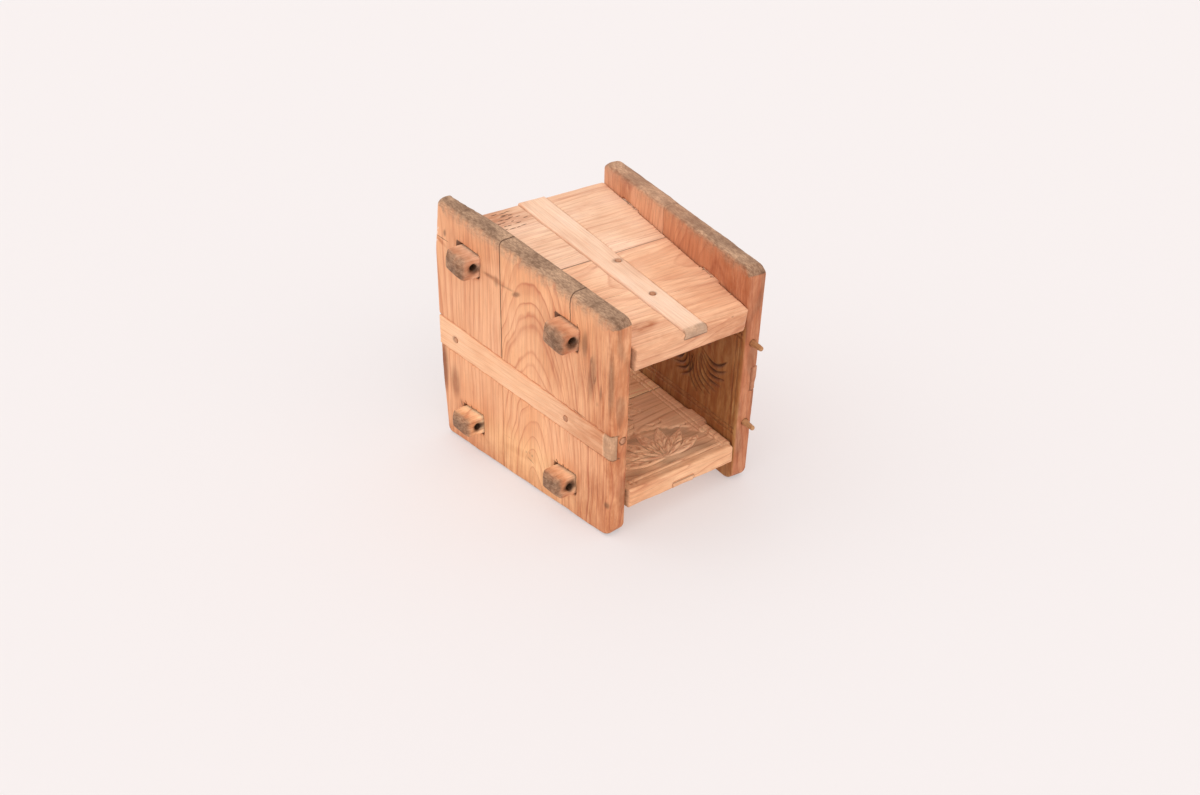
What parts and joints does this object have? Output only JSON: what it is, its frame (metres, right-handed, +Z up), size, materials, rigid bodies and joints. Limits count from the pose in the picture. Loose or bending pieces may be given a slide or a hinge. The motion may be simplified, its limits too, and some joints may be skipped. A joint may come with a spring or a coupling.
{
  "type": "knock-down mould",
  "caption": "Tapered open-ended wooden mould: four slotted boards with through tenons, dovetailed battens and pull-out locking pegs.",
  "frame": {"origin": "middle of the bounding box, at the level the side boards stand on", "axes": "+X to the right across the mould seen from the narrow mouth, +Y from the narrow mouth to the wide mouth, +Z up"},
  "size_m": [0.1978, 0.2176, 0.2109],
  "materials": {
    "pine": "aged, hand planed, unvarnished",
    "pale_pine": "aged, hand planed, unvarnished",
    "peg_wood": "whittled, worn dark"
  },
  "bodies": {
    "boards": {"right_front_plank": "pine", "right_back_plank": "pine", "right_batten": "pale_pine", "right_batten_pins": "peg_wood", "right_joint_dowels": "peg_wood", "right_upper_edge_peg": "peg_wood", "right_lower_edge_peg": "peg_wood", "top_front_plank": "pine", "top_back_plank": "pine", "top_batten": "pale_pine", "top_batten_pins": "peg_wood", "top_joint_dowels": "peg_wood", "bottom_front_plank": "pine", "bottom_back_plank": "pine", "bottom_batten": "pale_pine", "bottom_batten_pins": "peg_wood", "bottom_joint_dowels": "peg_wood"},
    "left_board": {"left_front_plank": "pine", "left_back_plank": "pine", "left_batten": "pale_pine", "left_batten_pins": "peg_wood", "left_joint_dowels": "peg_wood", "left_edge_peg": "peg_wood"},
    "upper_front_peg": {"upper_front_peg": "peg_wood"},
    "upper_back_peg": {"upper_back_peg": "peg_wood"},
    "lower_front_peg": {"lower_front_peg": "peg_wood"},
    "lower_back_peg": {"lower_back_peg": "peg_wood"}
  },
  "joints": [
    {"name": "left_board_slide", "type": "slide", "parent": "boards", "child": "left_board", "axis": [-1, 0, 0], "range_m": [0, 0.06]},
    {"name": "upper_front_peg_slide", "type": "slide", "parent": "boards", "child": "upper_front_peg", "axis": [-0.0933, -0.9949, -0.0388], "range_m": [0, 0.06]},
    {"name": "upper_back_peg_slide", "type": "slide", "parent": "boards", "child": "upper_back_peg", "axis": [0.0933, 0.9949, 0.0388], "range_m": [0, 0.06]},
    {"name": "lower_front_peg_slide", "type": "slide", "parent": "boards", "child": "lower_front_peg", "axis": [-0.0933, -0.9949, -0.0388], "range_m": [0, 0.06]},
    {"name": "lower_back_peg_slide", "type": "slide", "parent": "boards", "child": "lower_back_peg", "axis": [0.0933, 0.9949, 0.0388], "range_m": [0, 0.06]}
  ]
}
